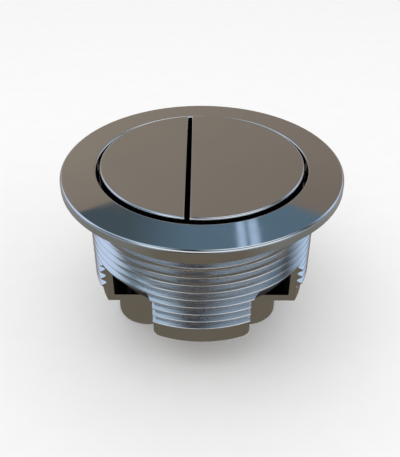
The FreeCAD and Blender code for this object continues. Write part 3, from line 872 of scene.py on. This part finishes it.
class PUSHBUTTON_OT_springs(bpy.types.Operator):
    """Wind the two return springs"""

    bl_idname = "pushbutton.springs"
    bl_label = "Return springs"

    def execute(self, context):
        s = context.scene.button_springs
        steel = finish("spring_wire", context.scene.button_finishes.spring, wear=0.6, smooth=0.22,
                       rough=0.4, grain=2400.0, height=2e-6, metallic=1.0).material
        tree = coil_tree()
        height = SPRING_HIGH.z - SPRING_LOW.z
        outer = (SPRING_HIGH.y - SPRING_LOW.y) / 2
        for side in SIDES:
            spring = new_object(side + "_spring", bpy.data.meshes.new(side + "_spring"))
            grow(spring, tree, coil_radius=outer - s.wire / 2, wire_radius=s.wire / 2,
                 foot=SPRING_LOW.z, height=height, turns=s.turns, closed_turns=s.closed,
                 across=boss_across(side), points=int(s.turns * COIL_STEPS), material=steel)
            crisp(spring, steel)
            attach(spring, "body")
            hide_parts(side + "_return_spring")
            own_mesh(spring)
        return {"FINISHED"}


class PUSHBUTTON_OT_inserts(bpy.types.Operator):
    """Turn the two brass rod inserts with their threads"""

    bl_idname = "pushbutton.inserts"
    bl_label = "Rod inserts"

    def execute(self, context):
        s = context.scene.button_springs
        brass = finish("brass", context.scene.button_finishes.brass, wear=0.7, smooth=0.2,
                       rough=0.42, grain=1800.0, height=2e-6, metallic=1.0).material
        tree = thread_tree()
        foot, top = INSERT_LOW.z, INSERT_HIGH.z
        outer = (INSERT_HIGH.x - INSERT_LOW.x) / 2
        middle, half = (foot + top) / 2, s.insert_groove / 2
        low, high = foot + s.insert_pitch, top - s.insert_pitch
        flat = s.insert_pitch * INSERT_FLAT
        rows = threaded_rows(s.insert_core, low, high, s.insert_pitch, INSERT_ROWS)
        waist = outer - s.insert_waist
        outside = ((s.insert_core, foot), (outer, foot), (outer, middle - half),
                   (waist, middle - half), (waist, middle + half), (outer, middle + half),
                   (outer, top), (s.insert_core, top))
        rows += [(r, z, 0) for r, z in outside]
        for side in SIDES:
            insert = unrolled(side + "_insert", rows, INSERT_STEPS)
            grow(insert, tree, pitch=s.insert_pitch, crest_radius=s.insert_core,
                 depth=-s.insert_depth, crest_width=flat, root_width=flat, first_groove=low,
                 last_groove=high, low=low, high=high, lead_in_top=low - MARGIN,
                 lead_in_foot=low - 2 * MARGIN, softness=INSERT_SOFTNESS, material=brass)
            insert.data.transform(Matrix.Translation((boss_across(side), 0, 0)))
            crisp(insert, brass)
            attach(insert, side + "_button")
            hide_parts(side + "_rod_insert")
        return {"FINISHED"}


class PUSHBUTTON_OT_inner_pieces(bpy.types.Operator):
    """Give the plungers, stems, bushes, washers and clips their finishes"""

    bl_idname = "pushbutton.inner_pieces"
    bl_label = "Inner pieces"

    def execute(self, context):
        f = context.scene.button_finishes
        kinds = (
            ("plunger", f.moulding, 1.8, 0.38, 0.6, 0.0),
            ("stem", f.moulding, 2.2, 0.3, 0.5, 0.0),
            ("guide_bush", f.acetal, 0.92, 0.35, 0.55, 0.0),
            ("stop_washer", f.rubber, 1.7, 0.6, 0.85, 0.0),
            ("stem_clip", f.clip, 0.7, 0.25, 0.45, 1.0),
        )
        for kind, tint, wear, smooth, rough, metallic in kinds:
            material = finish(kind, tint, wear, smooth, rough, grain=1600.0, height=4e-6,
                              metallic=metallic).material
            for side in SIDES:
                set_material(frame["nodes"][side + "_" + kind], material)
        return {"FINISHED"}


class PUSHBUTTON_OT_stage(bpy.types.Operator):
    """Set the floor, the room that the plating mirrors, the lamps and the camera"""

    bl_idname = "pushbutton.stage"
    bl_label = "Stage"

    def execute(self, context):
        scene = context.scene
        s = scene.button_stage
        self.floor(s)
        self.room(s)
        self.lamps(scene, s.sky)
        self.camera(scene, s)
        return {"FINISHED"}

    def floor(self, s):
        """A pale floor, and on it a table that only mirrored rays meet."""
        floor = self.disc("floor", s.floor_radius, BODY_LOW.z)
        paper = finish("paper_floor", s.floor, wear=0.9785, smooth=0.85, rough=0.95, grain=60.0,
                       height=1e-6)
        paper.shader.inputs["Specular IOR Level"].default_value = 0.0
        set_material(floor, paper.material)
        table = self.disc("table", s.table_radius, BODY_LOW.z + TABLE_GAP)
        glow = new_material("table_tone")
        x, y, _ = glow.split(glow.place())
        from_front = glow.math("ARCTAN2", x, glow.times(y, -1.0))
        axes = {"y": y, "beside": glow.math("ABSOLUTE", x), "reach": glow.reach(x, y),
                "off": glow.off(from_front, TABLE_DARKEST)}
        near = glow.mix(glow.area(axes, TABLE_SIDES), s.table, s.table_side)
        near = glow.mix(glow.area(axes, TABLE_BACK), near, s.table_back)
        far = glow.mix(glow.area(axes, TABLE_GLOW), s.table_far, s.table_glow)
        self.light_up(table, glow, glow.mix(glow.area(axes, TABLE_FAR), near, far))

    def room(self, s):
        """A wide dome that only mirrored rays meet.

        The windows and glows fan out from the place that level faces mirror, so each of them
        lights one side of the round body."""
        bm = bmesh.new()
        bmesh.ops.create_uvsphere(bm, u_segments=ROOM_STEPS, v_segments=ROOM_STEPS // 2,
                                  radius=s.room_radius)
        dome = object_from("room", bm)
        glow = new_material("room_tone")
        towards = glow.add("ShaderNodeVectorMath", glow.place(), operation="NORMALIZE").outputs[0]
        x, y, z = glow.split(towards)
        beside = glow.math("ABSOLUTE", x)
        edge = glow.plus(z, glow.times(beside, EDGE_DROP))
        lean = glow.less(y, glow.times(beside, FRONT_LEAN))
        right = glow.math("MAXIMUM", glow.less(x, RIGHT_FROM), 0.0)
        axes = {"x": x, "y": y, "z": z, "beside": beside,
                "edge": glow.less(edge, glow.times(x, EDGE_TILT)),
                "lean": glow.less(lean, glow.times(right, RIGHT_LEAN))}

        def lay(tone, spans, tint):
            return glow.mix(glow.area(axes, spans), tone, tint)

        wall = glow.add("ShaderNodeVectorMath", lay(s.warm, WALL_TO_RIGHT, s.warm_right), None,
                        None, glow.ramp(z, *WALL_SHADE), operation="SCALE").outputs[0]
        tone = lay(wall, UPPER_WALL, lay(s.cool_left, UPPER_TO_RIGHT, s.cool))
        for across, half in STRIPS:
            axes["off"] = glow.off(x, across)
            tone = lay(tone, (("off", half, half * STRIP_CORE), *STRIP_REACH), s.strips)
        tone = lay(tone, BACKDROP_FOOT, s.behind)

        lit = glow.math("MAXIMUM", glow.area(axes, CEILING), glow.area(axes, SIDE_WALLS))
        tone = glow.mix(lit, tone, s.overhead)
        angle = glow.math("ARCTAN2", x, glow.less(math.cos(s.elevation), y))
        for middle, half, soft, tint in WINDOWS:
            share = glow.ramp(glow.off(angle, middle), half + soft, half - soft)
            tone = glow.mix(glow.times(share, lit), tone, getattr(s, tint))

        tone = lay(tone, PANEL, s.panel)
        tone = lay(tone, FRONT_WALL, lay(s.dim, FRONT_SIDES, s.dim_side))
        self.light_up(dome, glow, lay(tone, FRONT_LIGHT, s.front))

    def lamps(self, scene, strength):
        """Even light all round, and two soft lamps that the plating doesn't mirror."""
        world = scene.world or bpy.data.worlds.new("studio")
        scene.world = world
        world.use_nodes = True
        sky = world.node_tree.nodes["Background"]
        sky.inputs["Color"].default_value = (1, 1, 1, 1)
        sky.inputs["Strength"].default_value = strength
        for name, place, size, power in LAMPS:
            lamp = new_object(name, bpy.data.lights.new(name, "AREA"))
            lamp.data.size, lamp.data.energy = size, power
            lamp.location = place
            lamp.rotation_euler = Vector(place).to_track_quat("Z", "Y").to_euler()
            lamp.visible_glossy = False

    def camera(self, scene, s):
        """A camera at the photograph's angle."""
        aim = Vector((s.aim_x, 0, s.aim_z))
        back = Vector((0, -math.cos(s.elevation), math.sin(s.elevation)))
        right = Vector((1, 0, 0))
        forward = (-back + s.aim_right * right + s.aim_up * right.cross(-back)).normalized()
        level = forward.cross(Vector((0, 0, 1))).normalized()
        axes = Matrix((level, level.cross(forward), -forward)).transposed()
        turned = (axes @ Matrix.Rotation(s.roll, 3, "Z")).to_4x4()
        camera = new_object("camera", bpy.data.cameras.new("camera"))
        camera.matrix_world = Matrix.Translation(aim + back * s.distance) @ turned
        camera.data.lens, camera.data.sensor_width = s.lens, SENSOR
        camera.data.clip_start = NEAREST
        scene.camera = camera
        scene.view_settings.view_transform = "Standard"

    def disc(self, name, radius, height):
        bm = bmesh.new()
        bmesh.ops.create_circle(bm, cap_ends=True, segments=TURNED_STEPS, radius=radius,
                                matrix=Matrix.Translation((0, 0, height)))
        return object_from(name, bm)

    def light_up(self, obj, glow, tone):
        """Make the object shine in its tone, and only for mirrored rays."""
        glow.fill(glow.shader, {"Base Color": (0, 0, 0), "Specular IOR Level": 0.0,
                                "Emission Color": tone, "Emission Strength": 1.0})
        set_material(obj, glow.material)
        obj.visible_camera = obj.visible_diffuse = obj.visible_shadow = False
        obj.visible_transmission = obj.visible_volume_scatter = False


class PUSHBUTTON_PT_panel(bpy.types.Panel):
    """The steps that dress the push button"""

    bl_idname = "PUSHBUTTON_PT_panel"
    bl_label = "Push button"
    bl_space_type = "VIEW_3D"
    bl_region_type = "UI"
    bl_category = "Push button"

    def draw(self, context):
        for operator in OPERATORS:
            self.layout.operator(operator.bl_idname)


GROUPS = (
    ("button_body", BodySizes), ("button_thread", ThreadSizes), ("button_caps", ButtonSizes),
    ("button_springs", SpringSizes), ("button_finishes", Finishes), ("button_stage", StageSizes),
)
OPERATORS = (
    PUSHBUTTON_OT_body, PUSHBUTTON_OT_caps, PUSHBUTTON_OT_springs, PUSHBUTTON_OT_inserts,
    PUSHBUTTON_OT_inner_pieces, PUSHBUTTON_OT_stage,
)


def register():
    for name, group in GROUPS:
        bpy.utils.register_class(group)
        setattr(bpy.types.Scene, name, PointerProperty(type=group))
    for item in (*OPERATORS, PUSHBUTTON_PT_panel):
        bpy.utils.register_class(item)


def unregister():
    for item in (PUSHBUTTON_PT_panel, *reversed(OPERATORS)):
        bpy.utils.unregister_class(item)
    for name, group in reversed(GROUPS):
        delattr(bpy.types.Scene, name)
        bpy.utils.unregister_class(group)


def main():
    register()
    bpy.ops.pushbutton.body()
    bpy.ops.pushbutton.caps()
    bpy.ops.pushbutton.springs()
    bpy.ops.pushbutton.inserts()
    bpy.ops.pushbutton.inner_pieces()
    bpy.ops.pushbutton.stage()


if __name__ == "__main__":
    main()
